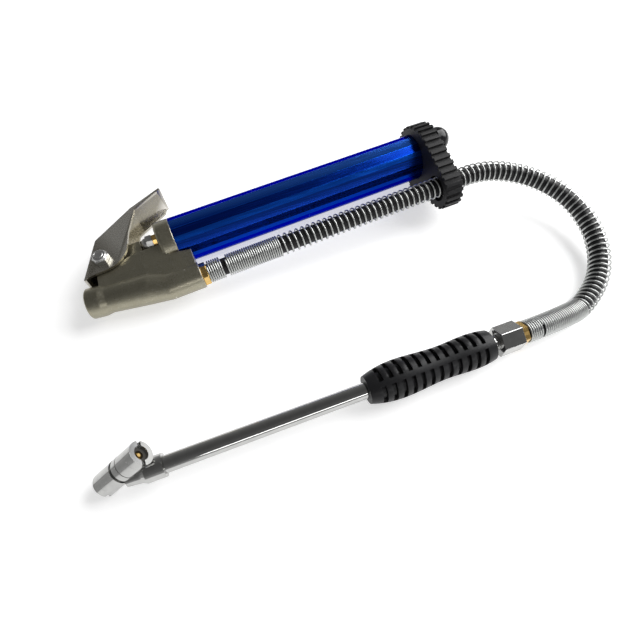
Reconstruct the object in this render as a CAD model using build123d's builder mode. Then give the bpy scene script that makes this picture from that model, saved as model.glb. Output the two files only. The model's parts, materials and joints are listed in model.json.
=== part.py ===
from build123d import *

"""Tyre inflator with a lever valve, a gauge barrel, a guarded hose and a dual-foot chuck on a lance.

The tool group (casting, lever, valve, gauge barrel, end cap) is modelled straight, in its own
frame: origin at the middle of the air inlet's mouth, +X along the barrel, +Y towards the lever.
It lies on the table on its cap and on its barrel socket, so it is pitched up a little at the end.
The lance group (chuck, tube, grip, couplings) is modelled along +X from the chuck head, and is
then laid down beside it. The hose is routed between them in the table's own frame.
"""

import os
from math import asin, atan2, cos, degrees, pi, radians, sin, sqrt, tan

# ---------------------------------------------------------------- driving dimensions, mm
barrel_diameter = 33.0
barrel_length = 188.5  # between the socket's mouth and the end cap
barrel_bore = 21.0
barrel_spigot = 7.0  # turned end that screws into the socket
barrel_offset = 28.0  # barrel axis above the middle of the inlet, at the socket's mouth
barrel_lean = 1.25  # the barrel and the outlet lean away from the inlet's axis, degrees
socket_start = 53.5
socket_length = 11.0
socket_round = 2.6
spigot_diameter = 28.0
ridge_angles = (14.0, 34.5, 66.0, 84.5)  # from the window's plane, each way
groove_angle = 46.5
ridge_radius = 0.45

port_diameter = 20.4  # inlet tube of the casting
outlet_diameter = 17.8
neck_diameter = 18.2
bend_x = 39.0
bend_drop = 4.8  # of the bend's middle, below the middle of the inlet
outlet_drop = 7.8
outlet_x = 73.5
outlet_run = 22.0  # straight end of the outlet tube
inlet_bore = 11.8  # tapping size of a quarter inch pipe thread
inlet_depth = 12.0
strainer_diameter = 10.6
strainer_depth = 2.0
outlet_bore = 9.8
outlet_depth = 12.0
passage_diameter = 7.0
gauge_way_diameter = 3.0
web_thickness = 16.0
tongue_thickness = 11.0
tongue_top = 33.0

pivot_x = 16.2
pivot_y = 23.8
pivot_diameter = 6.0
pivot_boss = 10.8
lever_width = 20.5
lever_sheet = 1.8
lever_bend = 5.0
lever_play = 0.45  # between each flange and the web

valve_x = 25.2
valve_bore = 8.0
valve_floor = -9.5
seat_y = 2.6
seat_length = 4.0
seat_hole = 5.2
stem_diameter = 5.0
needle_diameter = 3.4
gland_length = 13.0
gland_head = 2.0
gland_across = 10.0
ring_thickness = 1.15
stem_gap = 0.3  # between the stem's tip and the lever
poppet_play = 0.5  # radial
stem_play = 0.05  # radial, stem in gland

nut_height = 5.0
nut_across = 10.0
hex_head_height = 4.0

screw_y = 28.6
screw_z = 6.0
screw_diameter = 5.0
spacer_length = 3.2
cap_nut_across = 9.2
cap_nut_length = 4.2
screw_head = 2.5

cap_radius = 25.3
cap_thickness = 13.0
ear_sag = 1.06  # the hose runs this far above the middle of the ear
ear_radius = 15.5
ear_room = 3.6  # more than the guard's diameter
tooth_count = 36
tooth_depth = 1.7
tooth_share = 0.5
barrel_in_cap = 6.0
button_radius = 9.0
button_rise = 2.0
button_y = 26.2
button_z = 15.3

window_start = 92.0
window_length = 112.0
window_width = 5.0
lens_thickness = 3.2
piston_start = 70.0
piston_length = 16.0
indicator_length = 14.0
indicator_wall = 1.4
gasket_thickness = 1.0
plug_length = 14.0
running_gap = 0.08  # radial, piston in its bore

hose_diameter = 11.4
hose_bore = 6.4
guard_diameter = 15.0
guard_room = 0.6  # between hose and guard, on the diameter
guard_collar_length = 10.0
guard_gap = 3.0
collar_play = 0.5  # between a collar and its fitting
lance_collar_length = 10.0
lance_guard_gap = 0.8
barb_length = 9.0
hose_hex_across = 13.5
hose_hex_length = 4.0
lance_hex_length = 4.5

lance_yaw = -1.88
lance_y = -117.85  # lance axis beside the chuck head, in the table's frame
lance_x = 1.1
tube_diameter = 10.0
tube_bore = 7.0
collar_diameter = 13.4
collar_start = 10.3
collar_length = 10.2
grip_start = 139.0
grip_length = 83.0
grip_end_diameter = 17.0
grip_bulge_diameter = 23.6
grip_waist_diameter = 20.6
grip_heel_diameter = 22.2
slot_count = 12
slot_width = 2.7
slot_depth = 2.6
rib_turn = 18.0
coupling_across = 17.0
coupling_length = 15.0
coupling_gap = 5.5
coupling_seat = 7.0  # how far the tube and the fitting go in
head_diameter = 14.2
head_length = 32.0
head_tilt = 34.3
head_turn = 7.2
head_side = 4.6
foot_cap_length = 4.6
valve_opening = 8.4
slot_in_cap = 2.2
washer_thickness = 2.4
poppet_diameter = 5.0
poppet_length = 5.0
pin_diameter = 2.0

# ---------------------------------------------------------------- derived sizes
barrel_start = socket_start + socket_length
cap_start = barrel_start + barrel_length
cap_end = cap_start + cap_thickness
barrel_end = cap_start + barrel_in_cap
barrel_radius = barrel_diameter / 2
ear_bore = guard_diameter + ear_room
guard_bore = hose_diameter + guard_room
bore_radius = barrel_bore / 2
inlet_run = sqrt(bend_x**2 + bend_drop**2)
port_radius = port_diameter / 2
flange_inside = lever_width / 2 - lever_sheet
rest_pitch = degrees(asin((cap_radius - barrel_radius) / (cap_start - socket_start)))
table_z = socket_start * sin(radians(rest_pitch)) - barrel_radius * cos(radians(rest_pitch))
lance_height = grip_bulge_diameter / 2

tool_on_table = Location((0, 0, 0), (0, -rest_pitch, 0))
barrel_on_tool = (
    Location((barrel_start, barrel_offset, 0), (0, 0, barrel_lean)) * Location((-barrel_start, -barrel_offset, 0))
)
barrel_on_table = tool_on_table * barrel_on_tool
lance_on_table = Location((lance_x, lance_y, table_z + lance_height), (0, 0, lance_yaw))
os.makedirs("parts", exist_ok=True)


def across(x, y=0.0, z=0.0):
    """Plane square to the X axis at this point, with its own x along Y and its own y along Z."""
    return Plane(origin=(x, y, z), x_dir=(0, 1, 0), z_dir=(1, 0, 0))


def upright(x, y, z=0.0):
    """Plane square to the Y axis at this point, facing +Y, with its own x along X."""
    return Plane(origin=(x, y, z), x_dir=(1, 0, 0), z_dir=(0, 1, 0))


def leaned(plane):
    """The same plane, turned with the barrel about the socket's mouth."""
    return Plane(barrel_on_tool * plane.location)


def finish(piece, name, pose=None):
    """Label a finished piece, lay it down if it has a pose, and write it."""
    piece.part.label = name
    if pose:
        piece.part.move(pose)
    export_step(piece.part, f"parts/{name}.step")


# ---------------------------------------------------------------- body casting
inlet_line = Plane(origin=(0, 0, 0), x_dir=(bend_x, -bend_drop, 0), z_dir=(0, 0, 1))
inlet_axis = Axis((0, 0, 0), (bend_x, -bend_drop, 0))
inlet_face = Plane(origin=(0, 0, 0), x_dir=(0, 0, 1), z_dir=inlet_line.x_dir)
lean_cos = cos(radians(barrel_lean))
lean_sin = sin(radians(barrel_lean))
ear_drop = outlet_drop - (cap_start + cap_thickness / 2 - outlet_x) * tan(radians(barrel_lean)) + ear_sag
hose_line = Plane(
    origin=(outlet_x, -outlet_drop, 0), x_dir=(-lean_sin, lean_cos, 0), z_dir=(lean_cos, lean_sin, 0)
)
outlet_start = hose_line.offset(-outlet_run).origin
middle_run = outlet_start - Vector(bend_x, -bend_drop, 0)
middle_line = Plane(origin=(bend_x, -bend_drop, 0), x_dir=middle_run, z_dir=(0, 0, 1))
boss_radius = pivot_boss / 2

with BuildPart() as body_casting:
    with BuildSketch(Plane.XY) as web_outline:
        with BuildLine():
            Polyline(
                (10.0, -2.0),
                (10.0, 15.5),
                (28.0, 20.0),
                (47.1, 23.0),
                (socket_start + 1, 24.0),
                (socket_start + 1, barrel_offset - barrel_radius + 1.5),
                (barrel_start, barrel_offset - barrel_radius - 0.3),
                (outlet_x - 1, barrel_offset - barrel_radius - 1.5),
                (outlet_x - 1, -outlet_drop),
                (bend_x, -bend_drop),
                (10.0, -2.0),
            )
        make_face()
    extrude(amount=web_thickness / 2, both=True)
    with BuildSketch(Plane.XY) as tongue_outline:
        with BuildLine():
            Polyline(
                (12.5, 15.0),
                (pivot_x - 4.2, pivot_y + 2.6),
                (pivot_x + 0.8, tongue_top),
                (46.0, tongue_top + 1.0),
                (47.5, tongue_top - 3.0),
                (47.5, 20.0),
                (12.5, 15.0),
            )
        make_face()
    extrude(amount=tongue_thickness / 2, both=True)
    with BuildSketch(Plane.XY) as pivot_boss_outline:
        with Locations((pivot_x, pivot_y)):
            Circle(boss_radius)
    extrude(amount=web_thickness / 2, both=True)
    with BuildSketch(inlet_line) as inlet_profile:
        with BuildLine():
            Polyline(
                (0, 0),
                (0, port_radius - 0.8),
                (0.8, port_radius),
                (8.5, port_radius),
                (13.0, neck_diameter / 2),
                (inlet_run, port_radius),
                (inlet_run, 0),
                (0, 0),
            )
        make_face()
    revolve(axis=inlet_axis)
    with Locations((bend_x, -bend_drop, 0)):
        Sphere(port_radius)
    with BuildSketch(middle_line) as middle_profile:
        with BuildLine():
            Polyline(
                (0, 0),
                (0, port_radius),
                (middle_run.length, outlet_diameter / 2),
                (middle_run.length, 0),
                (0, 0),
            )
        make_face()
    revolve(axis=Axis(middle_line.origin, middle_run))
    with Locations(outlet_start):
        Sphere(outlet_diameter / 2)
    with BuildSketch(hose_line.offset(-outlet_run)) as outlet_tube:
        Circle(outlet_diameter / 2)
    extrude(amount=outlet_run)
    with BuildSketch(leaned(Plane.XY)) as socket_profile:
        with BuildLine():
            Polyline(
                (socket_start, barrel_offset + barrel_radius - socket_round),
                (socket_start, barrel_offset),
                (barrel_start, barrel_offset),
                (barrel_start, barrel_offset + barrel_radius),
                (socket_start + socket_round, barrel_offset + barrel_radius),
            )
            RadiusArc(
                (socket_start, barrel_offset + barrel_radius - socket_round),
                (socket_start + socket_round, barrel_offset + barrel_radius),
                socket_round,
            )
        make_face()
    revolve(axis=Axis((barrel_start, barrel_offset, 0), (lean_cos, lean_sin, 0)))
    # barrel seat
    with BuildSketch(leaned(across(barrel_start - barrel_spigot, barrel_offset))) as seat_outline:
        Circle(spigot_diameter / 2)
    extrude(amount=barrel_spigot, mode=Mode.SUBTRACT)
    # inlet, its passage and the outlet
    with BuildSketch(inlet_face) as inlet_mouth:
        Circle(inlet_bore / 2)
    extrude(amount=inlet_depth, mode=Mode.SUBTRACT)
    with BuildSketch(inlet_face) as strainer_seat:
        Circle(strainer_diameter / 2)
    extrude(amount=inlet_depth + strainer_depth, mode=Mode.SUBTRACT)
    with BuildSketch(inlet_face) as inlet_way:
        Circle(passage_diameter / 2)
    extrude(amount=valve_x, mode=Mode.SUBTRACT)
    with BuildSketch(hose_line) as outlet_mouth:
        Circle(outlet_bore / 2)
    extrude(amount=-outlet_depth, mode=Mode.SUBTRACT)
    way_start = hose_line.offset(1 - outlet_depth).origin
    way_run = Vector(valve_x, seat_y + seat_length + 3, 0) - way_start
    with BuildSketch(Plane(origin=way_start, x_dir=(0, 0, 1), z_dir=way_run)) as outlet_passage:
        Circle(gauge_way_diameter / 2 + 1)
    extrude(amount=way_run.length - valve_bore / 4, mode=Mode.SUBTRACT)
    # valve chamber, gauge drilling, gauge screw and pivot
    with BuildSketch(upright(valve_x, valve_floor)) as chamber:
        Circle(valve_bore / 2)
    extrude(amount=tongue_top + 5 - valve_floor, mode=Mode.SUBTRACT)
    with BuildSketch(upright(barrel_start - barrel_spigot - 1, -outlet_drop)) as gauge_way:
        Circle(gauge_way_diameter / 2)
    extrude(amount=barrel_offset + outlet_drop, mode=Mode.SUBTRACT)
    with BuildSketch(leaned(across(socket_start - 1, screw_y, screw_z))) as screw_hole:
        Circle(screw_diameter / 2)
    extrude(amount=socket_length, mode=Mode.SUBTRACT)
    with BuildSketch(leaned(across(socket_start, screw_y, screw_z))) as nut_relief:
        Circle(cap_nut_across * 0.6 + 0.3)
    extrude(amount=-spacer_length - cap_nut_length - cap_nut_across / 2, mode=Mode.SUBTRACT)
    with BuildSketch(upright(valve_x, tongue_top)) as gland_face:
        Circle(gland_across * 0.6 + 0.2)
    extrude(amount=5, mode=Mode.SUBTRACT)
    with BuildSketch(Plane.XY.offset(-web_thickness)) as pivot_hole:
        with Locations((pivot_x, pivot_y)):
            Circle(pivot_diameter / 2 + stem_play)
    extrude(amount=2 * web_thickness, mode=Mode.SUBTRACT)

# ---------------------------------------------------------------- lever
lever_back = [(2.6, 11.1), (14.3, 41.9), (42.2, 62.0), (64.9, 73.0)]
near_edge = [(62.9, 70.0), (44.6, 59.6), (36.7, 40.2), (33.6, 27.5)]
far_edge = [(62.2, 66.5), (46.0, 56.0), (40.0, 52.0), (36.7, 40.2), (33.6, 27.5)]
foot_edge = [(28.8, 19.4), (21.3, 14.7), (13.4, 13.6)]


def lever_flange(edge, low):
    """One cheek of the lever: its back follows the web, its open side the given edge."""
    with BuildPart() as cheek:
        with BuildSketch(Plane.XY.offset(low)) as outline:
            with BuildLine():
                FilletPolyline(*lever_back, radius=lever_bend)
                Line(lever_back[-1], edge[0])
                Polyline(*edge)
                Spline(edge[-1], *foot_edge, lever_back[0])
            make_face()
        extrude(amount=lever_sheet)
    return cheek.part


with BuildPart() as lever:
    with BuildSketch(Plane.XY.offset(-lever_width / 2)) as lever_web:
        with BuildLine() as web_line:
            FilletPolyline(*lever_back, radius=lever_bend)
            offset(amount=lever_sheet, side=Side.RIGHT)
        make_face()
    extrude(amount=lever_width)
    add(lever_flange(near_edge, flange_inside))
    add(lever_flange(far_edge, -lever_width / 2))
    with BuildSketch(Plane.XY.offset(-lever_width)) as lever_holes:
        with Locations((pivot_x, pivot_y)):
            Circle(pivot_diameter / 2 + stem_play)
    extrude(amount=2 * lever_width, mode=Mode.SUBTRACT)

# ---------------------------------------------------------------- pivot bolt and nut
with BuildPart() as pivot_bolt:
    with BuildSketch(Plane.XY.offset(-lever_width / 2 - hex_head_height)) as bolt_head:
        with Locations((pivot_x, pivot_y)):
            RegularPolygon(nut_across / 2, 6, major_radius=False)
    extrude(amount=hex_head_height)
    with BuildSketch(Plane.XY.offset(-lever_width / 2)) as bolt_shank:
        with Locations((pivot_x, pivot_y)):
            Circle(pivot_diameter / 2)
    extrude(amount=lever_width + nut_height + 0.3)
    chamfer(pivot_bolt.faces().sort_by(Axis.Z)[-1].edges(), length=0.5)

with BuildPart() as pivot_nut:
    with BuildSketch(Plane.XY.offset(lever_width / 2)) as nut_flats:
        with Locations((pivot_x, pivot_y)):
            RegularPolygon(nut_across / 2, 6, major_radius=False)
    extrude(amount=nut_height - 1.4)
    with BuildSketch(Plane.XY.offset(lever_width / 2 + nut_height - 1.4)) as nut_crown:
        with Locations((pivot_x, pivot_y)):
            Circle(nut_across / 2 - 0.3)
    extrude(amount=1.4)
    chamfer(pivot_nut.faces().sort_by(Axis.Z)[-1].edges(), length=0.7)
    with BuildSketch(Plane.XY.offset(lever_width / 2)) as nut_thread:
        with Locations((pivot_x, pivot_y)):
            Circle(pivot_diameter / 2)
    extrude(amount=nut_height, mode=Mode.SUBTRACT)

finish(body_casting, "body_casting", tool_on_table)
finish(lever, "lever", tool_on_table)
finish(pivot_bolt, "pivot_bolt", tool_on_table)
finish(pivot_nut, "pivot_nut", tool_on_table)


# ---------------------------------------------------------------- valve
def coil(path_plane, mean_radius, wire, height, turns):
    """A closed-up coil spring that stands on a plane."""
    with BuildPart() as spring:
        with BuildLine(path_plane.offset(wire / 2)) as path:
            Helix(
                pitch=(height - wire) / turns,
                height=height - wire,
                radius=mean_radius,
                direction=path_plane.z_dir,
            )
        with BuildSketch(Plane(origin=path.line @ 0, z_dir=path.line % 0)):
            Circle(wire / 2)
        sweep(is_frenet=True)
    return spring


def ring(plane, inner_radius, thickness):
    """An O-ring whose middle lies on a plane."""
    with BuildPart() as o_ring:
        with BuildSketch(Plane(origin=plane.origin, x_dir=plane.x_dir, z_dir=plane.y_dir)):
            with Locations((inner_radius + thickness / 2, 0)):
                Circle(thickness / 2)
        revolve(axis=Axis(plane.origin, plane.z_dir))
    return o_ring


stem_radius = stem_diameter / 2
poppet_radius = valve_bore / 2 - poppet_play
seal_thickness = 1.2
poppet_thickness = 2.0
poppet_low = seat_y - seal_thickness - poppet_thickness
spring_stub = 1.6
needle_end = seat_y + seat_length + 7.4

# the stem stops short of the lever's web, which slopes over it
lever_angle = atan2(lever_back[2][1] - lever_back[1][1], lever_back[2][0] - lever_back[1][0])
web_distance = (
    (lever_back[1][1] - pivot_y) * cos(lever_angle)
    - (lever_back[1][0] - pivot_x) * sin(lever_angle)
    - lever_sheet
)
stem_tip = (
    pivot_y
    + (web_distance - stem_radius - stem_gap + (valve_x - pivot_x) * sin(lever_angle)) / cos(lever_angle)
    + stem_radius
)

with BuildPart() as valve_stem:
    with BuildSketch(upright(valve_x, seat_y - seal_thickness)) as needle:
        Circle(needle_diameter / 2)
    extrude(amount=needle_end - seat_y + seal_thickness)
    with BuildSketch(upright(valve_x, needle_end)) as shank:
        Circle(stem_radius)
    extrude(amount=stem_tip - stem_radius - needle_end)
    with Locations((valve_x, stem_tip - stem_radius, 0)):
        Sphere(stem_radius)

with BuildPart() as valve_poppet:
    with BuildSketch(upright(valve_x, poppet_low)) as poppet_disc:
        Circle(poppet_radius)
    extrude(amount=poppet_thickness)
    with BuildSketch(upright(valve_x, poppet_low - spring_stub)) as poppet_stub:
        Circle(needle_diameter / 2)
    extrude(amount=spring_stub)

with BuildPart() as poppet_seal:
    with BuildSketch(upright(valve_x, seat_y - seal_thickness)) as seal_face:
        Circle(poppet_radius)
        Circle(needle_diameter / 2, mode=Mode.SUBTRACT)
    extrude(amount=seal_thickness)

with BuildPart() as valve_seat:
    with BuildSketch(upright(valve_x, seat_y)) as seat_face:
        Circle(valve_bore / 2)
        Circle(seat_hole / 2, mode=Mode.SUBTRACT)
    extrude(amount=seat_length)

valve_wire = 0.6
valve_spring = coil(
    upright(valve_x, valve_floor), poppet_radius - 2 * valve_wire, valve_wire, poppet_low - valve_floor, 5
)

gland_low = tongue_top - gland_length
gland_recess = 2 * ring_thickness
with BuildPart() as valve_gland:
    with BuildSketch(upright(valve_x, gland_low)) as gland_thread:
        Circle(valve_bore / 2)
    extrude(amount=gland_length)
    with BuildSketch(upright(valve_x, gland_low + gland_length)) as gland_hex:
        RegularPolygon(gland_across / 2, 6, major_radius=False)
    extrude(amount=gland_head)
    with BuildSketch(upright(valve_x, gland_low)) as gland_hole:
        Circle(stem_radius + stem_play)
    extrude(amount=gland_length + gland_head, mode=Mode.SUBTRACT)
    with BuildSketch(upright(valve_x, gland_low)) as ring_recess:
        Circle(stem_radius + stem_play + ring_thickness)
    extrude(amount=gland_recess, mode=Mode.SUBTRACT)

stem_o_ring = ring(upright(valve_x, gland_low + ring_thickness), stem_radius + stem_play, ring_thickness)

with BuildPart() as inlet_strainer:
    with BuildSketch(inlet_face.offset(inlet_depth)) as strainer_disc:
        Circle(strainer_diameter / 2)
        with PolarLocations(strainer_diameter / 4, 6):
            Circle(1.0, mode=Mode.SUBTRACT)
        Circle(1.0, mode=Mode.SUBTRACT)
    extrude(amount=strainer_depth)

for valve_piece, piece_name in (
    (valve_stem, "valve_stem"),
    (valve_poppet, "valve_poppet"),
    (poppet_seal, "poppet_seal"),
    (valve_seat, "valve_seat"),
    (valve_spring, "valve_spring"),
    (valve_gland, "valve_gland"),
    (stem_o_ring, "stem_o_ring"),
    (inlet_strainer, "inlet_strainer"),
):
    finish(valve_piece, piece_name, tool_on_table)

# ---------------------------------------------------------------- gauge screw, its spacer and cap nut
seat_floor = barrel_start - barrel_spigot
nut_face = socket_start - spacer_length
with BuildPart() as gauge_screw:
    with BuildSketch(across(nut_face - cap_nut_length, screw_y, screw_z)) as screw_shank:
        Circle(screw_diameter / 2)
    extrude(amount=seat_floor - nut_face + cap_nut_length)
    with BuildSketch(across(seat_floor, screw_y, screw_z)) as screw_cap:
        Circle(screw_diameter * 0.75)
    extrude(amount=screw_head)

with BuildPart() as screw_spacer:
    with BuildSketch(across(nut_face, screw_y, screw_z)) as spacer_face:
        RegularPolygon(cap_nut_across / 2 - 0.5, 6, major_radius=False)
        Circle(screw_diameter / 2, mode=Mode.SUBTRACT)
    extrude(amount=spacer_length)

dome_radius = cap_nut_across / 2 - 0.4
with BuildPart() as cap_nut:
    with BuildSketch(across(nut_face, screw_y, screw_z)) as cap_nut_hex:
        RegularPolygon(cap_nut_across / 2, 6, major_radius=False)
    extrude(amount=-cap_nut_length)
    with Locations((nut_face - cap_nut_length, screw_y, screw_z)):
        Sphere(dome_radius)
    with BuildSketch(across(nut_face, screw_y, screw_z)) as cap_nut_back:
        Circle(cap_nut_across)
    extrude(amount=dome_radius, mode=Mode.SUBTRACT)
    with BuildSketch(across(nut_face, screw_y, screw_z)) as cap_nut_thread:
        Circle(screw_diameter / 2)
    extrude(amount=-cap_nut_length, mode=Mode.SUBTRACT)

finish(gauge_screw, "gauge_screw", barrel_on_table)
finish(screw_spacer, "screw_spacer", barrel_on_table)
finish(cap_nut, "cap_nut", barrel_on_table)

# ---------------------------------------------------------------- gauge barrel
right_angles = sorted(
    side + sign * angle
    for side in (90.0, 270.0)
    for sign in (-1, 1)
    for angle in (*ridge_angles, groove_angle)
)
ridge_corners = [
    (barrel_radius * cos(radians(angle)), barrel_radius * sin(radians(angle))) for angle in right_angles
]

with BuildPart() as barrel:
    with BuildSketch(across(barrel_start, barrel_offset)) as barrel_outline:
        with BuildLine():
            Polyline(*ridge_corners, close=True)
        make_face()
        for angle in right_angles:
            if angle % 90 not in (groove_angle, 90 - groove_angle):
                with PolarLocations(barrel_radius - ridge_radius, 1, start_angle=angle):
                    Circle(ridge_radius)
    extrude(amount=barrel_end - barrel_start)
    with BuildSketch(across(seat_floor + gasket_thickness, barrel_offset)) as spigot:
        Circle(spigot_diameter / 2)
    extrude(amount=barrel_start - seat_floor - gasket_thickness)
    with BuildSketch(across(seat_floor, barrel_offset)) as barrel_hole:
        Circle(bore_radius)
    extrude(amount=barrel_end - seat_floor, mode=Mode.SUBTRACT)
    with BuildSketch(Plane.XY) as window_slot:
        with Locations((window_start + window_length / 2, barrel_offset)):
            SlotOverall(window_length, window_width)
    extrude(amount=-barrel_radius, mode=Mode.SUBTRACT)

lens_top = -sqrt(barrel_radius**2 - (barrel_radius * sin(radians(ridge_angles[0])))**2)
with BuildPart() as window_lens:
    with BuildSketch(Plane.XY.offset(lens_top)) as lens_outline:
        with Locations((window_start + window_length / 2, barrel_offset)):
            SlotOverall(window_length, window_width)
    extrude(amount=lens_thickness)

with BuildPart() as barrel_gasket:
    with BuildSketch(across(seat_floor, barrel_offset)) as gasket_face:
        Circle(spigot_diameter / 2)
        Circle(bore_radius + 0.5, mode=Mode.SUBTRACT)
    extrude(amount=gasket_thickness)

piston_radius = bore_radius - running_gap
piston_groove = 2.4
with BuildPart() as gauge_piston:
    with BuildSketch(across(piston_start, barrel_offset)) as piston_face:
        Circle(piston_radius)
    extrude(amount=piston_length)
    with BuildSketch(across(piston_start + 3, barrel_offset)) as piston_ring_groove:
        Circle(piston_radius)
        Circle(piston_radius - piston_groove, mode=Mode.SUBTRACT)
    extrude(amount=piston_groove, mode=Mode.SUBTRACT)
    with BuildSketch(across(piston_start + piston_length, barrel_offset)) as spring_recess:
        Circle(piston_radius - indicator_wall)
    extrude(amount=-6.0, mode=Mode.SUBTRACT)

piston_seal = ring(
    across(piston_start + 3 + piston_groove / 2, barrel_offset), piston_radius - piston_groove, piston_groove
)

with BuildPart() as indicator:
    with BuildSketch(across(piston_start + piston_length, barrel_offset)) as indicator_face:
        Circle(piston_radius)
        Circle(piston_radius - indicator_wall, mode=Mode.SUBTRACT)
    extrude(amount=indicator_length)

plug_start = barrel_end - plug_length
with BuildPart() as barrel_plug:
    with BuildSketch(across(plug_start, barrel_offset)) as plug_face:
        Circle(bore_radius)
        Circle(2.0, mode=Mode.SUBTRACT)
    extrude(amount=plug_length)

spring_wire = 1.2
spring_start = piston_start + piston_length - 6.0
gauge_spring = coil(
    across(spring_start, barrel_offset),
    piston_radius - indicator_wall - spring_wire,
    spring_wire,
    plug_start - spring_start,
    20,
)

# ---------------------------------------------------------------- end cap and its button
ear_offset = barrel_offset + ear_drop  # middle of the ear to middle of the cap
lean = asin((cap_radius - ear_radius) / ear_offset)
tangent_run = ear_offset * cos(lean)
big_arc = cap_radius * (pi + 2 * lean)
small_arc = ear_radius * (pi - 2 * lean)
rim_length = big_arc + small_arc + 2 * tangent_run


def rim_place(distance):
    """Place and outward angle on the cap's outline, this far round from the top of its straight."""
    start = pi / 2 + lean  # where the big arc meets the upper straight
    if distance < tangent_run:
        share = distance / tangent_run
        y = share * -ear_offset + (cap_radius + (ear_radius - cap_radius) * share) * cos(start)
        z = (cap_radius + (ear_radius - cap_radius) * share) * sin(start)
        return y, z, start
    distance -= tangent_run
    if distance < small_arc:
        angle = start + distance / ear_radius
        return -ear_offset + ear_radius * cos(angle), ear_radius * sin(angle), angle
    distance -= small_arc
    if distance < tangent_run:
        share = 1 - distance / tangent_run
        y = share * -ear_offset + (cap_radius + (ear_radius - cap_radius) * share) * cos(start)
        z = -(cap_radius + (ear_radius - cap_radius) * share) * sin(start)
        return y, z, -start
    angle = -start + (distance - tangent_run) / cap_radius
    return cap_radius * cos(angle), cap_radius * sin(angle), angle


tooth_pitch = rim_length / tooth_count
with BuildPart() as end_cap:
    with BuildSketch(across(cap_start, barrel_offset)) as cap_outline:
        Circle(cap_radius)
        with Locations((-ear_offset, 0)):
            Circle(ear_radius)
        make_hull()
        for tooth in range(tooth_count):
            y, z, angle = rim_place((tooth + 0.5) * tooth_pitch)
            with Locations(Location((y, z, 0), (0, 0, degrees(angle)))):
                Rectangle(2 * tooth_depth, tooth_pitch * (1 - tooth_share), mode=Mode.SUBTRACT)
    extrude(amount=cap_thickness)
    with BuildSketch(leaned(across(cap_start - 1, barrel_offset))) as cap_pocket:
        Circle(barrel_radius)
    extrude(amount=barrel_in_cap + 1, mode=Mode.SUBTRACT)
    with BuildSketch(across(cap_start, -ear_drop)) as hose_eye:
        Circle(ear_bore / 2)
    extrude(amount=cap_thickness, mode=Mode.SUBTRACT)
    with BuildSketch(across(cap_end, button_y, button_z)) as button_hole:
        Circle(button_radius / 3)
    extrude(amount=-(cap_thickness - barrel_in_cap - 1), mode=Mode.SUBTRACT)

with BuildPart() as cap_button:
    with Locations((cap_end + button_rise, button_y, button_z)):
        Sphere(button_radius)
    with BuildSketch(across(cap_end + button_rise, button_y, button_z)) as button_back:
        Circle(button_radius + 1)
    extrude(amount=-button_radius, mode=Mode.SUBTRACT)
    with BuildSketch(across(cap_end, button_y, button_z)) as button_side:
        Circle(button_radius)
    extrude(amount=button_rise)
    with BuildSketch(across(cap_end, button_y, button_z)) as button_stalk:
        Circle(button_radius / 3)
    extrude(amount=-(cap_thickness - barrel_in_cap - 1))

for gauge_piece, piece_name in (
    (barrel, "barrel"),
    (window_lens, "window_lens"),
    (barrel_gasket, "barrel_gasket"),
    (gauge_piston, "gauge_piston"),
    (piston_seal, "piston_seal"),
    (indicator, "indicator"),
    (gauge_spring, "gauge_spring"),
    (barrel_plug, "barrel_plug"),
):
    finish(gauge_piece, piece_name, barrel_on_table)
finish(end_cap, "end_cap", tool_on_table)
finish(cap_button, "cap_button", tool_on_table)


# ---------------------------------------------------------------- outlet fitting and hose
fitting_thread = 10.0
fitting_way = 4.0
barb_radius = hose_bore / 2

with BuildPart() as outlet_fitting:
    with BuildSketch(hose_line.offset(-fitting_thread)) as thread_stub:
        Circle(outlet_bore / 2)
    extrude(amount=fitting_thread)
    with BuildSketch(hose_line) as fitting_hex:
        RegularPolygon(hose_hex_across / 2, 6, major_radius=False, rotation=30)
    extrude(amount=hose_hex_length)
    with BuildSketch(hose_line.offset(hose_hex_length)) as hose_barb:
        Circle(barb_radius)
    extrude(amount=barb_length)
    with BuildSketch(hose_line.offset(-fitting_thread)) as fitting_hole:
        Circle(fitting_way / 2)
    extrude(amount=fitting_thread + hose_hex_length + barb_length, mode=Mode.SUBTRACT)
finish(outlet_fitting, "outlet_fitting", tool_on_table)

grip_finish = grip_start + grip_length
coupling_start = grip_finish + coupling_gap
coupling_end = coupling_start + coupling_length
hose_finish = coupling_end + lance_hex_length
lance_bend = hose_finish + 21.9  # last point of the hose's route before its straight end
guard_start = hose_hex_length + guard_collar_length + guard_gap
guard_finish = hose_finish + collar_play + lance_collar_length + lance_guard_gap


def placed(location, x, y=0.0, z=0.0):
    """A point of a group's own frame, in the table's frame."""
    return (location * Location((x, y, z))).position


# the loop follows the end cap
cap_exit = placed(tool_on_table, *hose_line.offset(cap_end + 29.5 - outlet_x).origin)
loop_points = [
    Vector(cap_end + 60.1, -18.3, 9.5),
    Vector(cap_end + 79.3, -46.5, 4.5),
    Vector(cap_end + 79.1, -78.5, -1.0),
    Vector(cap_end + 62.9, -106.7, -5.6),
    Vector(cap_end + 32.8, -124.1, -6.0),
]
lance_point = placed(lance_on_table, lance_bend)


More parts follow.
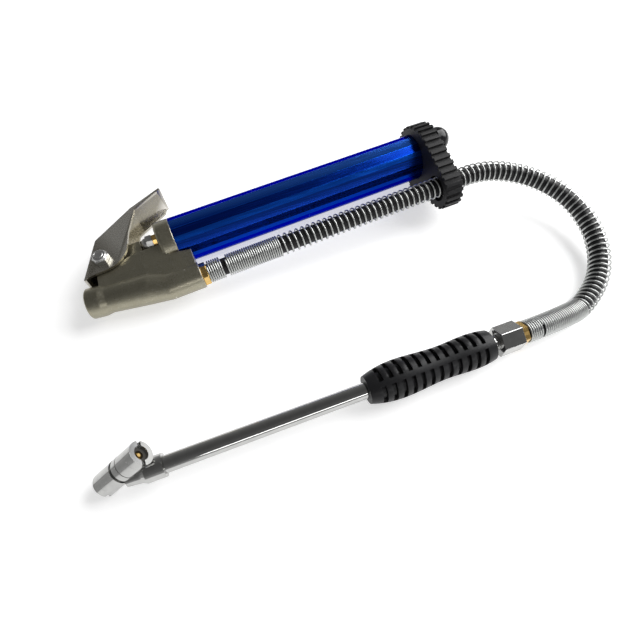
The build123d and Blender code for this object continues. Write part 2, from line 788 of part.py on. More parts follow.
def hose_tube(start, finish_at, outer, inner):
    """A tube along the hose's route between two places on its straight ends; also its length."""
    points = [
        placed(tool_on_table, *hose_line.offset(start).origin),
        cap_exit,
        *loop_points,
        lance_point,
        placed(lance_on_table, finish_at),
    ]
    full_points = [points[0], *points[1:-1], placed(lance_on_table, hose_finish)]
    bend_radii = []
    for before, corner, after in zip(full_points, full_points[1:], full_points[2:]):
        half_turn = radians((corner - before).get_angle(after - corner)) / 2
        shorter_run = min((corner - before).length, (after - corner).length)
        bend_radii.append(0.45 * shorter_run / tan(half_turn))
    with BuildPart() as tube:
        with BuildLine() as route:
            FilletPolyline(*points, radius=bend_radii)
        with BuildSketch(Plane(origin=route.line @ 0, z_dir=route.line % 0)):
            Circle(outer / 2)
            Circle(inner / 2, mode=Mode.SUBTRACT)
        sweep()
    section = pi * (outer**2 - inner**2) / 4
    length = sum(piece.length for piece in route.edges())
    share = tube.part.volume / (section * length)
    print("length", round(length, 1), "radii", [round(radius, 1) for radius in bend_radii])
    print("volume over section times length", round(share, 4))
    return tube


hose = hose_tube(hose_hex_length, hose_finish, hose_diameter, hose_bore)
hose_guard = hose_tube(guard_start, guard_finish, guard_diameter, guard_bore)
finish(hose, "hose")
finish(hose_guard, "hose_guard")

with BuildPart() as guard_collar_body:
    with BuildSketch(hose_line.offset(hose_hex_length + collar_play)) as body_collar_face:
        Circle(guard_diameter / 2)
        Circle(hose_diameter / 2, mode=Mode.SUBTRACT)
    extrude(amount=guard_collar_length)
finish(guard_collar_body, "guard_collar_body", tool_on_table)

with BuildPart() as guard_collar_lance:
    with BuildSketch(across(hose_finish + collar_play)) as lance_collar_face:
        Circle(guard_diameter / 2)
        Circle(hose_diameter / 2, mode=Mode.SUBTRACT)
    extrude(amount=lance_collar_length)
finish(guard_collar_lance, "guard_collar_lance", lance_on_table)

# ---------------------------------------------------------------- lance: tube, grip, couplings
tube_radius = tube_diameter / 2
tube_start = collar_start + collar_length - coupling_seat
with BuildPart() as lance_tube:
    with BuildSketch(across(tube_start)) as tube_face:
        Circle(tube_radius)
        Circle(tube_bore / 2, mode=Mode.SUBTRACT)
    extrude(amount=coupling_start + coupling_seat - tube_start)

grip_profile = [
    (0.0, grip_end_diameter / 2),
    (0.24, grip_bulge_diameter / 2),
    (0.60, grip_waist_diameter / 2),
    (0.86, grip_heel_diameter / 2),
    (1.0, grip_heel_diameter / 2 - 1.3),
]
rib_width = 3.4
slot_pitch = grip_length / (slot_count + 1.6)


def grip_outline(inset):
    """Half outline of the grip, its outside drawn in by this much."""
    with BuildSketch(Plane.XY) as outline:
        with BuildLine():
            curve = Spline(*[(grip_start + share * grip_length, radius - inset) for share, radius in grip_profile])
            Polyline(curve @ 1, (grip_finish, 0), (grip_start, 0), curve @ 0)
        make_face()
    return outline.sketch


with BuildPart() as grip_slots:
    for slot in range(slot_count):
        slot_middle = grip_start + (slot + 1.3) * slot_pitch
        with BuildSketch(across(slot_middle - slot_width / 2)) as slot_ring:
            Circle(grip_bulge_diameter)
            Rectangle(3 * grip_bulge_diameter, rib_width, mode=Mode.SUBTRACT)
            Rectangle(rib_width, 3 * grip_bulge_diameter, mode=Mode.SUBTRACT)
        extrude(amount=slot_width)
    with BuildSketch(Plane.XY) as slot_core:
        add(grip_outline(slot_depth))
    revolve(axis=Axis.X, mode=Mode.SUBTRACT)

with BuildPart() as grip:
    with BuildSketch(Plane.XY) as grip_half:
        add(grip_outline(0))
    revolve(axis=Axis.X)
    with BuildSketch(across(grip_start)) as grip_hole:
        Circle(tube_radius)
    extrude(amount=grip_length, mode=Mode.SUBTRACT)
    add(grip_slots.part.rotate(Axis.X, rib_turn), mode=Mode.SUBTRACT)

with BuildPart() as coupling:
    with BuildSketch(across(coupling_start)) as coupling_hex:
        RegularPolygon(coupling_across / 2, 6, major_radius=False, rotation=30)
    extrude(amount=coupling_length)
    with BuildSketch(across(coupling_start)) as coupling_way:
        Circle(fitting_way / 2)
    extrude(amount=coupling_length, mode=Mode.SUBTRACT)
    with BuildSketch(across(coupling_start)) as tube_seat:
        Circle(tube_radius)
    extrude(amount=coupling_seat, mode=Mode.SUBTRACT)
    with BuildSketch(across(coupling_end)) as fitting_seat:
        Circle(outlet_bore / 2)
    extrude(amount=-coupling_seat, mode=Mode.SUBTRACT)

with BuildPart() as lance_hose_fitting:
    with BuildSketch(across(coupling_end - coupling_seat)) as lance_stub:
        Circle(outlet_bore / 2)
    extrude(amount=coupling_seat)
    with BuildSketch(across(coupling_end)) as lance_hex:
        RegularPolygon(hose_hex_across / 2, 6, major_radius=False, rotation=30)
    extrude(amount=lance_hex_length)
    with BuildSketch(across(hose_finish)) as lance_barb:
        Circle(barb_radius)
    extrude(amount=barb_length)
    with BuildSketch(across(coupling_end - coupling_seat)) as lance_fitting_hole:
        Circle(fitting_way / 2)
    extrude(amount=coupling_seat + lance_hex_length + barb_length, mode=Mode.SUBTRACT)

for lance_piece, piece_name in (
    (lance_tube, "lance_tube"),
    (grip, "grip"),
    (coupling, "coupling"),
    (lance_hose_fitting, "lance_hose_fitting"),
):
    finish(lance_piece, piece_name, lance_on_table)

# ---------------------------------------------------------------- dual-foot chuck
head_radius = head_diameter / 2
head_rise = head_length / 2 * sin(radians(head_tilt)) + head_radius * cos(radians(head_tilt)) - lance_height
head_direction = Vector(
    cos(radians(head_tilt)) * cos(radians(head_turn)),
    cos(radians(head_tilt)) * sin(radians(head_turn)),
    sin(radians(head_tilt)),
)
head_middle = Plane(origin=(0, head_side, head_rise), x_dir=(0, 1, 0), z_dir=head_direction)
head_half = head_length / 2 - foot_cap_length
seat_radius = poppet_diameter / 2 + stem_play
spring_room = 3.4
poppet_gap = 0.3  # between a poppet and its washer
lip_thickness = foot_cap_length - washer_thickness
washer_radius = head_radius - 1.9

with BuildPart() as chuck_body:
    with BuildSketch(head_middle.offset(-head_half)) as head_disc:
        Circle(head_radius)
    extrude(amount=2 * head_half)
    # a waist beside the middle and a fine turned groove
    for groove_place, groove_width, groove_depth in ((-1.0, 1.8, 1.1), (3.5, 0.5, 0.35)):
        with BuildSketch(head_middle.offset(groove_place - groove_width / 2)) as groove_ring:
            Circle(head_radius + 1)
            Circle(head_radius - groove_depth, mode=Mode.SUBTRACT)
        extrude(amount=groove_width, mode=Mode.SUBTRACT)
    with BuildSketch(Plane.XY) as neck_half:
        with BuildLine():
            Polyline(
                (0, 0),
                (0, 4.6),
                (collar_start - 2.5, collar_diameter / 2 - 1.2),
                (collar_start, collar_diameter / 2),
                (collar_start + collar_length, collar_diameter / 2),
                (collar_start + collar_length, 0),
                (0, 0),
            )
        make_face()
    revolve(axis=Axis.X)
    with BuildSketch(head_middle.offset(head_half)) as upper_cap_room:
        Circle(head_radius + 0.2)
    extrude(amount=foot_cap_length + 2, mode=Mode.SUBTRACT)
    for side in (-1, 1):
        with BuildSketch(head_middle.offset(side * head_half)) as poppet_bore:
            Circle(seat_radius)
        extrude(amount=-side * (poppet_gap + poppet_length + spring_room), mode=Mode.SUBTRACT)
    with BuildSketch(head_middle.offset(-head_half)) as head_passage:
        Circle(0.8)
    extrude(amount=2 * head_half, mode=Mode.SUBTRACT)
    with BuildSketch(across(collar_start + collar_length)) as collar_seat:
        Circle(tube_radius)
    extrude(amount=-coupling_seat, mode=Mode.SUBTRACT)
    with BuildSketch(across(collar_start + collar_length)) as neck_passage:
        Circle(1.2)
    extrude(amount=-collar_start - collar_length, mode=Mode.SUBTRACT)
finish(chuck_body, "chuck_body", lance_on_table)

for side, side_name in ((1, "upper"), (-1, "lower")):
    with BuildPart() as chuck_cap:
        with BuildSketch(head_middle.offset(side * head_half)) as cap_wall:
            Circle(head_radius)
            Circle(washer_radius, mode=Mode.SUBTRACT)
        extrude(amount=side * washer_thickness)
        with BuildSketch(head_middle.offset(side * (head_half + washer_thickness))) as cap_lip:
            Circle(head_radius)
            Circle(valve_opening / 2, mode=Mode.SUBTRACT)
        extrude(amount=side * lip_thickness)
        with BuildSketch(head_middle.offset(side * (head_length / 2))) as cap_slot:
            Rectangle(3 * head_radius, slot_in_cap)
        extrude(amount=-side * lip_thickness * 0.75, mode=Mode.SUBTRACT)
    finish(chuck_cap, f"chuck_cap_{side_name}", lance_on_table)

    with BuildPart() as chuck_seal:
        with BuildSketch(head_middle.offset(side * head_half)) as seal_disc:
            Circle(washer_radius)
            Circle(poppet_diameter / 2, mode=Mode.SUBTRACT)
        extrude(amount=side * washer_thickness)
    finish(chuck_seal, f"chuck_seal_{side_name}", lance_on_table)

    with BuildPart() as depressor:
        with BuildSketch(head_middle.offset(side * (head_half - poppet_gap))) as poppet_end:
            Circle(poppet_diameter / 2)
        extrude(amount=-side * poppet_length)
        with BuildSketch(head_middle.offset(side * (head_half - poppet_gap))) as pin_end:
            Circle(pin_diameter / 2)
        extrude(amount=side * (poppet_gap + washer_thickness))
    finish(depressor, f"depressor_{side_name}", lance_on_table)

    spring_base = Plane(
        origin=head_middle.offset(side * (head_half - poppet_gap - poppet_length - spring_room)).origin,
        x_dir=(0, 1, 0),
        z_dir=head_direction * side,
    )
    depressor_spring = coil(spring_base, poppet_diameter / 2 - 0.6, 0.5, spring_room, 3)
    finish(depressor_spring, f"depressor_spring_{side_name}", lance_on_table)
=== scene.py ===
"""Looks of a tyre inflator that lies on a white table: camera, light, materials and detailed pieces.

Lengths are in metres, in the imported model's frame: +X along the gauge barrel, +Z up from the table.
"""

import json
import math

import bmesh
import bpy
from mathutils import Matrix, Vector


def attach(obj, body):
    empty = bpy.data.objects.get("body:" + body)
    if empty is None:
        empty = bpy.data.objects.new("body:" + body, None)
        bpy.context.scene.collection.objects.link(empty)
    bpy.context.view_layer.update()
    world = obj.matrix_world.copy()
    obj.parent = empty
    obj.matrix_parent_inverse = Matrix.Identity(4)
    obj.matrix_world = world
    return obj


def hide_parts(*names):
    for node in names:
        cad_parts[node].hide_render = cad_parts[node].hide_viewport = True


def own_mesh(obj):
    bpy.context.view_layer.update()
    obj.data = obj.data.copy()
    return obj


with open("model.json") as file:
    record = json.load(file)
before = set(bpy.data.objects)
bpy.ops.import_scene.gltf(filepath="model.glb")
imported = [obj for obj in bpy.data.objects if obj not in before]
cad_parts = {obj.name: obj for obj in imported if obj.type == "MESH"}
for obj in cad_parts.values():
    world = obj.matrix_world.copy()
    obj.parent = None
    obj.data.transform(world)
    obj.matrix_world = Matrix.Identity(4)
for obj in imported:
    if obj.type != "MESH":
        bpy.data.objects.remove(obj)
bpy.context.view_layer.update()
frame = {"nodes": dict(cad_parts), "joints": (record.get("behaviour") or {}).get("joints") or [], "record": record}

MM = 0.001
TABLE_HEIGHT = -14.124 * MM
BARREL_RADIUS = 16.5 * MM
BODY = "tool"
joints = {joint["name"]: joint for joint in frame["joints"]}
mounts = {mount["name"]: mount for mount in frame["record"]["mounts"]}


# ---------------------------------------------------------------- places from the frame
def axes_matrix(origin, x_axis, z_axis):
    """A right-handed frame at a point, with these directions for its x and z."""
    x = Vector(x_axis).normalized()
    z = Vector(z_axis).normalized()
    y = z.cross(x)
    return Matrix.Translation(origin) @ Matrix((x, y, z)).transposed().to_4x4()


tool_up = -Vector(joints["lever_squeeze"]["axis"])
tool = axes_matrix((0, 0, 0), Vector((0, 1, 0)).cross(tool_up), tool_up)
barrel_along = Vector(joints["gauge_reading"]["axis"])
barrel_place = Vector(joints["gauge_reading"]["pos_m"])
head_along = -Vector(joints["depress_upper"]["axis"])
head_middle = (
    Vector(mounts["chuck_opening_upper"]["pos_m"]) + Vector(mounts["chuck_opening_lower"]["pos_m"])
) / 2

# ---------------------------------------------------------------- camera
CAMERA_PLACE = Vector((77.8, -200.3, 241.8)) * MM
CAMERA_HEADING = math.radians(22.83)  # clockwise from +Y
CAMERA_DIP = math.radians(59.5)
FOCAL_PIXELS = 441
IMAGE_PIXELS = 640
SENSOR = 36.0

camera_data = bpy.data.cameras.new("camera")
camera_data.sensor_width = SENSOR
camera_data.lens = SENSOR * FOCAL_PIXELS / IMAGE_PIXELS
camera_data.clip_start = 0.01
camera = bpy.data.objects.new("camera", camera_data)
camera.location = CAMERA_PLACE
camera.rotation_euler = (math.pi / 2 - CAMERA_DIP, 0, -CAMERA_HEADING)
bpy.context.collection.objects.link(camera)
bpy.context.scene.camera = camera


# ---------------------------------------------------------------- materials
class Look:
    """A material under construction: its Principled shader and the nodes that feed it."""

    def __init__(self, name, base, metallic=0.0, roughness=0.4, **sockets):
        self.material = bpy.data.materials.new(name)
        self.material.use_nodes = True
        self.nodes = self.material.node_tree.nodes
        self.links = self.material.node_tree.links
        self.shader = self.nodes["Principled BSDF"]
        self.base = base
        self.shader.inputs["Base Color"].default_value = (*base, 1)
        self.shader.inputs["Metallic"].default_value = metallic
        self.shader.inputs["Roughness"].default_value = roughness
        for socket, value in sockets.items():
            self.shader.inputs[socket.replace("_", " ")].default_value = value
        self.coordinates = self.nodes.new("ShaderNodeTexCoord").outputs["Object"]
        self.height = None

    def noise(self, scale, stretch=(1, 1, 1), turn=(0, 0, 0), detail=3.0, rough=0.55):
        """Noise of so many grains per metre, drawn out along an axis by stretch."""
        mapping = self.nodes.new("ShaderNodeMapping")
        mapping.inputs["Rotation"].default_value = turn
        mapping.inputs["Scale"].default_value = stretch
        texture = self.nodes.new("ShaderNodeTexNoise")
        texture.inputs["Scale"].default_value = scale
        texture.inputs["Detail"].default_value = detail
        texture.inputs["Roughness"].default_value = rough
        self.links.new(self.coordinates, mapping.inputs["Vector"])
        self.links.new(mapping.outputs["Vector"], texture.inputs["Vector"])
        return texture.outputs["Fac"]

    def spread(self, value, low, high, to_low, to_high):
        """Map a stretch of a value onto another, and keep it inside."""
        node = self.nodes.new("ShaderNodeMapRange")
        for socket, number in zip(node.inputs[1:5], (low, high, to_low, to_high)):
            socket.default_value = number
        self.links.new(value, node.inputs["Value"])
        return node.outputs["Result"]

    def tint(self, factor, other):
        """Mix the base colour with another where the factor is high."""
        mix = self.nodes.new("ShaderNodeMix")
        mix.data_type = "RGBA"
        target = self.shader.inputs["Base Color"]
        if target.is_linked:
            self.links.new(target.links[0].from_socket, mix.inputs["A"])
        else:
            mix.inputs["A"].default_value = (*self.base, 1)
        mix.inputs["B"].default_value = (*other, 1)
        self.links.new(factor, mix.inputs["Factor"])
        self.links.new(mix.outputs["Result"], target)
        return self

    def rough(self, value, low, high):
        """Let roughness follow a noise."""
        self.links.new(self.spread(value, 0.3, 0.7, low, high), self.shader.inputs["Roughness"])
        return self

    def bump(self, value, depth, strength=1.0):
        """Add relief of so many metres."""
        node = self.nodes.new("ShaderNodeBump")
        node.inputs["Distance"].default_value = depth
        node.inputs["Strength"].default_value = strength
        self.links.new(value, node.inputs["Height"])
        if self.height:
            self.links.new(self.height, node.inputs["Normal"])
        self.height = node.outputs["Normal"]
        self.links.new(self.height, self.shader.inputs["Normal"])
        return self

    def worn_edges(self, other, low=0.52, high=0.6):
        """Lighten sharp outer edges, as handling does."""
        pointiness = self.nodes.new("ShaderNodeNewGeometry").outputs["Pointiness"]
        return self.tint(self.spread(pointiness, low, high, 0.0, 0.8), other)


def satin_nickel(name, base, roughness):
    look = Look(name, base, metallic=1.0, roughness=roughness)
    grain = look.noise(2600, detail=2)
    patches = look.noise(90, detail=4)
    look.tint(look.spread(patches, 0.35, 0.7, 0.0, 0.35), tuple(0.72 * c for c in base))
    look.tint(look.spread(grain, 0.60, 0.74, 0.0, 0.5), (0.86, 0.83, 0.78))
    look.rough(grain, roughness - 0.10, roughness + 0.12)
    look.bump(grain, 0.05 * MM, 0.5)
    look.bump(patches, 0.12 * MM, 0.4)
    return look.worn_edges((0.92, 0.89, 0.82))


def turned_metal(name, base, roughness, streak=0.10):
    look = Look(name, base, metallic=1.0, roughness=roughness)
    lines = look.noise(500, stretch=(0.08, 1, 1), detail=4)
    look.rough(lines, max(roughness - streak / 2, 0.02), roughness + streak)
    look.tint(look.spread(look.noise(220), 0.4, 0.75, 0.0, 0.3), tuple(0.7 * c for c in base))
    return look.bump(lines, 0.01 * MM, 0.4)


def soft_black(name, base, roughness, grain_scale=1400, relief=0.05):
    look = Look(name, base, roughness=roughness, Specular_IOR_Level=0.22)
    grain = look.noise(grain_scale, detail=3)
    look.rough(grain, roughness - 0.08, roughness + 0.12)
    look.tint(look.spread(look.noise(60), 0.4, 0.8, 0.0, 0.5), tuple(1.9 * c for c in base))
    return look.bump(grain, relief * MM, 0.6)


def anodised_blue():
    look = Look("blue_anodised", (0.001, 0.026, 0.33), metallic=1.0, roughness=0.24)
    look.shader.inputs["Specular Tint"].default_value = (0.06, 0.16, 0.55, 1)
    turn = (0, joints_pitch, 0)
    streaks = look.noise(1500, stretch=(0.012, 1, 1), turn=turn, detail=3)
    marks = look.noise(260, stretch=(1.0, 0.12, 0.12), turn=turn, detail=2, rough=0.4)
    look.rough(streaks, 0.18, 0.30)
    look.tint(look.spread(streaks, 0.5, 0.8, 0.0, 0.35), (0.004, 0.028, 0.34))
    look.tint(look.spread(marks, 0.78, 0.80, 0.0, 0.4), (0.25, 0.38, 0.75))
    look.bump(streaks, 0.012 * MM, 0.5)
    return look.worn_edges((0.05, 0.22, 0.95), 0.53, 0.62)


joints_pitch = math.atan2(barrel_along.z, barrel_along.x)
looks = {
    "casting": satin_nickel("cast_nickel", (0.33, 0.31, 0.235), 0.36),
    "lever": satin_nickel("sheet_nickel", (0.30, 0.28, 0.225), 0.26),
    "zinc": turned_metal("zinc_plate", (0.50, 0.50, 0.49), 0.34),
    "blue": anodised_blue(),
    "brass": turned_metal("turned_brass", (0.72, 0.48, 0.17), 0.24),
    "chrome": turned_metal("bright_chrome", (0.48, 0.48, 0.47), 0.08, 0.05),
    "spring_wire": turned_metal("wire_zinc", (0.50, 0.51, 0.50), 0.36),
    "cap_rubber": soft_black("cap_rubber_black", (0.009, 0.009, 0.010), 0.50),
    "cap_gloss": soft_black("gloss_black", (0.010, 0.010, 0.011), 0.12, 300, 0.01),
    "grip_plastic": soft_black("grip_black", (0.010, 0.010, 0.011), 0.38, 2000, 0.04),
    "hose_rubber": soft_black("hose_black", (0.013, 0.013, 0.014), 0.42, 1200, 0.02),
    "seal_rubber": soft_black("seal_black", (0.035, 0.033, 0.030), 0.55),
    "indicator_red": Look("indicator_red", (0.62, 0.05, 0.03), roughness=0.35),
    "lens": Look("clear_lens", (0.92, 0.95, 0.97), roughness=0.08, Transmission_Weight=1.0, IOR=1.49),
}
looks["indicator_red"].bump(looks["indicator_red"].noise(900), 0.01 * MM, 0.4)
looks["lens"].rough(looks["lens"].noise(400), 0.04, 0.12)

# A brighter blue that is a painted highlight: it goes only on the barrel ridges that face up, standing in for the
# light they catch
ridge_highlight_look = turned_metal("blue_ridge_painted_highlight", (0.008, 0.12, 0.80), 0.24)
slot_of = {part["node"]: part["material_slot"] for part in frame["record"]["subparts"]}
for node_name, node_object in frame["nodes"].items():
    node_object.data.materials.clear()
    node_object.data.materials.append(looks[slot_of[node_name]].material)


# ---------------------------------------------------------------- mesh helpers
def body_of(node):
    for body, members in frame["record"]["behaviour"]["bodies"].items():
        if node in members:
            return body
    raise ValueError(node)


def new_piece(name, mesh, slot, nodes, body=BODY):
    """Link a mesh as a visible piece that stands for CAD nodes."""
    piece = bpy.data.objects.new(name, mesh)
    bpy.context.collection.objects.link(piece)
    mesh.materials.clear()
    mesh.materials.append(looks[slot].material)
    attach(piece, body)
    if nodes:
        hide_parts(*nodes)
    return piece


def smooth_by_angle(mesh, angle=32):
    """Shade smooth, apart from edges sharper than the angle."""
    mesh.shade_smooth()
    mesh.set_sharp_from_angle(angle=math.radians(angle))


def polished(node, width, segments=2, angle=28):
    """A copy of a CAD node with its hard edges rounded over."""
    mesh = frame["nodes"][node].data.copy()
    work = bmesh.new()
    work.from_mesh(mesh)
    bmesh.ops.remove_doubles(work, verts=work.verts, dist=0.004 * MM)
    bmesh.ops.dissolve_limit(
        work, angle_limit=math.radians(0.6), verts=work.verts, edges=work.edges, delimit={"NORMAL"}
    )
    work.to_mesh(mesh)
    work.free()
    piece = new_piece(f"{node}_finish", mesh, slot_of[node], [node], body_of(node))
    smooth_by_angle(mesh, angle)
    bevel = piece.modifiers.new("edges", "BEVEL")
    bevel.width = width
    bevel.segments = segments
    bevel.limit_method = "ANGLE"
    bevel.angle_limit = math.radians(angle)
    bevel.use_clamp_overlap = True
    bevel.harden_normals = True
    return piece


def moulded(node, voxel, rounds):
    """A copy of a CAD node as one rounded skin, as a casting or a moulding has."""
    mesh = frame["nodes"][node].data.copy()
    piece = new_piece(f"{node}_finish", mesh, slot_of[node], [node], body_of(node))
    remesh = piece.modifiers.new("skin", "REMESH")
    remesh.mode = "VOXEL"
    remesh.voxel_size = voxel
    remesh.use_smooth_shade = True
    smooth = piece.modifiers.new("round", "SMOOTH")
    smooth.factor = 0.6
    smooth.iterations = rounds
    return piece


# ---------------------------------------------------------------- hose and its spring guard
HOSE_DIAMETER = 11.4 * MM
GUARD_DIAMETER = 15.0 * MM
WIRE_DIAMETER = 1.15 * MM
OPEN_PITCH = 4.3 * MM
outlet = tool @ (Vector((73.5, -7.8, 0)) * MM)
hose_exit = outlet + barrel_along * 4.0 * MM  # the hose leaves side by side with the barrel
hose_end = Vector((247.97, -125.95, -2.324)) * MM
route = [
    hose_exit,
    outlet + barrel_along * 187.3 * MM,
    outlet + barrel_along * 222.0 * MM,
    Vector((326.1, -18.3, 9.5)) * MM,
    Vector((345.3, -46.5, 4.5)) * MM,
    Vector((345.1, -78.5, -1.0)) * MM,
    Vector((328.9, -106.7, -5.6)) * MM,
    Vector((298.8, -124.1, -6.0)) * MM,
    Vector((269.86, -126.67, -2.324)) * MM,
    hose_end,
]


def nurbs_route(name, points):
    """A smooth open curve with the route's points as its control points."""
    curve = bpy.data.curves.new(name, "CURVE")
    curve.dimensions = "3D"
    curve.resolution_u = 24
    spline = curve.splines.new("NURBS")
    spline.points.add(len(points) - 1)
    for control, point in zip(spline.points, points):
        control.co = (*point, 1)
    spline.order_u = 3
    spline.use_endpoint_u = True
    return curve


def read_line(curve):
    """The points that the smooth curve passes through."""
    bare = bpy.data.objects.new("bare_line", curve.copy())
    bare.data.bevel_depth = 0
    mesh = bpy.data.meshes.new_from_object(bare)
    line = [vertex.co.copy() for vertex in mesh.vertices]
    bpy.data.curves.remove(bare.data)
    bpy.data.meshes.remove(mesh)
    return line


class Track:
    """A line with its running length and a frame that doesn't twist, for pieces that follow it."""

    def __init__(self, line):
        self.line = line
        self.lengths = [0.0]
        for before, after in zip(line, line[1:]):
            self.lengths.append(self.lengths[-1] + (after - before).length)
        self.sides = []
        side = Vector((0, 0, 1))
        for index in range(len(line)):
            ahead = self.ahead(index)
            side = (side - ahead * side.dot(ahead)).normalized()
            self.sides.append(side.copy())

    def ahead(self, index):
        low = max(index - 1, 0)
        high = min(index + 1, len(self.line) - 1)
        return (self.line[high] - self.line[low]).normalized()

    def at(self, distance):
        """Place, direction and side direction at this length along the line."""
        low, high = 0, len(self.lengths) - 1
        while high - low > 1:
            middle = (low + high) // 2
            if self.lengths[middle] <= distance:
                low = middle
            else:
                high = middle
        share = (distance - self.lengths[low]) / (self.lengths[high] - self.lengths[low])
        place = self.line[low].lerp(self.line[high], share)
        ahead = self.ahead(low).lerp(self.ahead(high), share).normalized()
        side = self.sides[low].lerp(self.sides[high], share)
        side = (side - ahead * side.dot(ahead)).normalized()
        return place, ahead, side


hose_curve = nurbs_route("hose_curve", route)
hose_curve.bevel_depth = HOSE_DIAMETER / 2
hose_curve.bevel_resolution = 8
track = Track(read_line(hose_curve))
hose_length = track.lengths[-1]
hose = bpy.data.objects.new("rubber_hose", hose_curve)
bpy.context.collection.objects.link(hose)
hose_curve.materials.append(looks["hose_rubber"].material)
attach(hose, BODY)
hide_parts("hose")


def wire_mesh(name, centres, outward, radius, sides=8):
    """A round wire through the centres; outward gives each ring's first direction."""
    mesh = bpy.data.meshes.new(name)
    vertices = []
    faces = []
    last = len(centres) - 1
    for index, centre in enumerate(centres):
        ahead = (centres[min(index + 1, last)] - centres[max(index - 1, 0)]).normalized()
        out = (outward[index] - ahead * outward[index].dot(ahead)).normalized()
        across = ahead.cross(out)
        for corner in range(sides):
            angle = 2 * math.pi * corner / sides
            vertices.append(centre + radius * (math.cos(angle) * out + math.sin(angle) * across))
    for index in range(last):
        for corner in range(sides):
            a = index * sides + corner
            b = index * sides + (corner + 1) % sides
            faces.append((a, b, b + sides, a + sides))
    faces.append(tuple(reversed(range(sides))))
    faces.append(tuple(last * sides + corner for corner in range(sides)))
    mesh.from_pydata(vertices, [], faces)
    mesh.shade_smooth()
    return mesh


def wound(name, stretches, nodes):
    """A spring guard round the hose: each stretch is (from, to, pitch) along it."""
    centres = []
    outward = []
    angle = 0.0
    steps = 28  # per turn
    reach = 10 * MM  # the bend is measured over this run
    mean_radius = (GUARD_DIAMETER - WIRE_DIAMETER) / 2
    slack = mean_radius - WIRE_DIAMETER / 2 - HOSE_DIAMETER / 2
    distance = stretches[0][0]
    for start, end, pitch in stretches:
        while distance < end:
            place, ahead, side = track.at(distance)
            turn = math.cos(angle) * side + math.sin(angle) * ahead.cross(side)
            bend = (track.at(min(distance + reach, hose_length - 0.01 * MM))[1] - ahead) / reach
            shift = -bend.normalized() * slack * min(bend.length * 0.05, 1.0) if bend.length > 1 else Vector()
            centres.append(place + shift + mean_radius * turn)
            outward.append(turn)
            angle += 2 * math.pi / steps
            distance += pitch / steps
    mesh = wire_mesh(name, centres, outward, WIRE_DIAMETER / 2)
    return new_piece(name, mesh, "spring_wire", nodes)


CLOSE_PITCH = 1.30 * WIRE_DIAMETER
GUARD_GAP = 3.0 * MM
collar_end = 10.5 * MM
guard_start = collar_end + GUARD_GAP
close_end = guard_start + 38 * MM
lance_collar_start = hose_length - 10.5 * MM
guard_end = lance_collar_start - 0.8 * MM
close_again = guard_end - 36 * MM
guard_collar_body = wound("coil_collar_body", [(0.5 * MM, collar_end, CLOSE_PITCH)], ["guard_collar_body"])
spring_guard = wound(
    "spring_guard",
    [
        (guard_start, close_end, CLOSE_PITCH),
        (close_end, close_again, OPEN_PITCH),
        (close_again, guard_end, CLOSE_PITCH),
    ],
    ["hose_guard"],
)
guard_collar_lance = wound(
    "coil_collar_lance", [(lance_collar_start, hose_length - 0.5 * MM, CLOSE_PITCH)], ["guard_collar_lance"]
)

# ---------------------------------------------------------------- polished pieces
moulded("body_casting", 0.36 * MM, 3)
for node_name, width in (
    ("lever", 0.30),
    ("pivot_bolt", 0.35),
    ("pivot_nut", 0.35),
    ("cap_nut", 0.25),
    ("screw_spacer", 0.20),
    ("valve_gland", 0.30),
    ("outlet_fitting", 0.35),
    ("coupling", 0.60),
    ("end_cap", 0.30),
    ("chuck_body", 0.15),
    ("chuck_cap_upper", 0.22),
    ("chuck_cap_lower", 0.22),
    ("grip", 0.35),
):
    polished(node_name, width * MM)

# ---------------------------------------------------------------- springs, as smooth-shaded copies of their CAD nodes (they don't shorten with their joints here)
for node_name, joint_name, spring_axis, fixed_end, spring_length, travel in (
    ("gauge_spring", "gauge_reading", barrel_along, barrel_place + barrel_along * 167 * MM, 165, 95),
    ("valve_spring", "lever_squeeze", Vector((0, 1, 0)), tool @ (Vector((25.2, -9.5, 0)) * MM), 8.9, 5.8),
    ("depressor_spring_upper", "depress_upper", head_along, head_middle + head_along * 2.7 * MM, 3.4, 1.6),
    ("depressor_spring_lower", "depress_lower", head_along, head_middle - head_along * 2.7 * MM, 3.4, 1.6),
):
    coil_mesh = frame["nodes"][node_name].data.copy()
    coil = new_piece(f"{node_name}_coil", coil_mesh, slot_of[node_name], [node_name])
    smooth_by_angle(coil_mesh)
    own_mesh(coil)

# ---------------------------------------------------------------- barrel, with a painted highlight on its upward-facing ridges
RIDGE_FROM = 0.993 * BARREL_RADIUS  # only the ridges reach further out than this
barrel_finish = polished("barrel", 0.10 * MM)
barrel_finish.data.materials.append(ridge_highlight_look.material)
for face in barrel_finish.data.polygons:
    run = face.center - barrel_place
    radial = run - barrel_along * run.dot(barrel_along)
    # Painted highlight: ridges facing up get the brighter blue; ridges facing sideways or down keep the plain blue
    on_top = radial.normalized().dot(tool_up) > 0.6
    if on_top and radial.length > RIDGE_FROM and abs(face.normal.dot(barrel_along)) < 0.1:
        face.material_index = 1

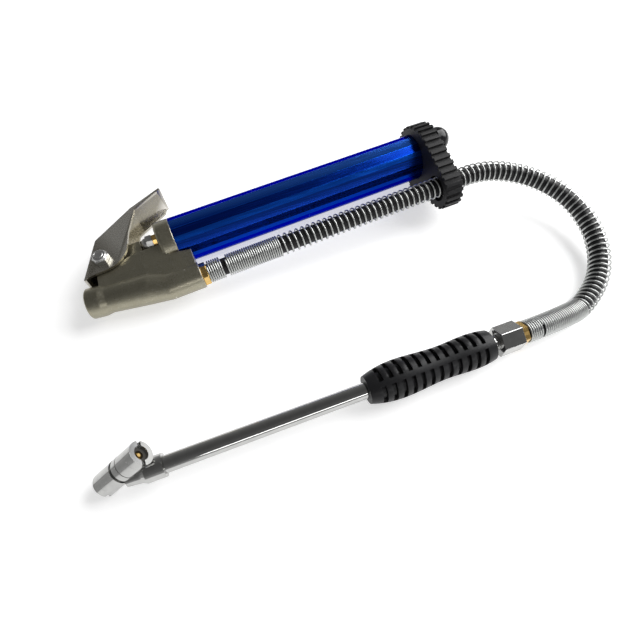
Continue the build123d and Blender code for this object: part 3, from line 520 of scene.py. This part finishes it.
# ---------------------------------------------------------------- table and light
floor_mesh = bpy.data.meshes.new("table")
TABLE_HALF = 6.0
floor_corners = [(x * TABLE_HALF, y * TABLE_HALF, 0) for x, y in ((-1, -1), (1, -1), (1, 1), (-1, 1))]
floor_mesh.from_pydata(floor_corners, [], [(0, 1, 2, 3)])
table = bpy.data.objects.new("table", floor_mesh)
table.location = (0, 0, TABLE_HEIGHT)
bpy.context.collection.objects.link(table)
table_look = Look("table_white", (0.74, 0.74, 0.74), roughness=0.8)
table_look.shader.inputs["Emission Color"].default_value = (1, 1, 1, 1)
table_look.shader.inputs["Emission Strength"].default_value = 0.56
table_look.rough(table_look.noise(40), 0.6, 0.8)
floor_mesh.materials.append(table_look.material)


def soft_box(name, place, target, size, power):
    light = bpy.data.lights.new(name, "AREA")
    light.shape = "RECTANGLE"
    light.size, light.size_y = size
    light.energy = power
    box_object = bpy.data.objects.new(name, light)
    box_object.location = place
    box_object.rotation_euler = (Vector(target) - Vector(place)).to_track_quat("-Z", "Y").to_euler()
    bpy.context.collection.objects.link(box_object)


middle = (0.16, -0.06, 0)
soft_box("window", (1.15, 0.12, 0.85), middle, (1.2, 1.0), 27)
soft_box("front", (0.40, -1.15, 0.42), middle, (1.2, 0.12), 2.5)

world = bpy.data.worlds.new("room")
bpy.context.scene.world = world
world.use_nodes = True
background = world.node_tree.nodes["Background"]
sky = world.node_tree.nodes.new("ShaderNodeTexCoord")
split = world.node_tree.nodes.new("ShaderNodeSeparateXYZ")
ramp = world.node_tree.nodes.new("ShaderNodeValToRGB")
world.node_tree.links.new(sky.outputs["Generated"], split.inputs["Vector"])
world.node_tree.links.new(split.outputs["Z"], ramp.inputs["Fac"])
world.node_tree.links.new(ramp.outputs["Color"], background.inputs["Color"])
bands = ramp.color_ramp.elements  # white walls low down, a dark room overhead
bands[0].position = 0.10
bands[0].color = (0.46, 0.46, 0.46, 1)
bands[1].position = 1.0
bands[1].color = (0.10, 0.10, 0.10, 1)
low_wall = bands.new(0.42)
low_wall.color = (0.20, 0.20, 0.20, 1)
background.inputs["Strength"].default_value = 1.0

bpy.context.scene.view_settings.view_transform = "Standard"
bpy.context.scene.view_settings.look = "None"
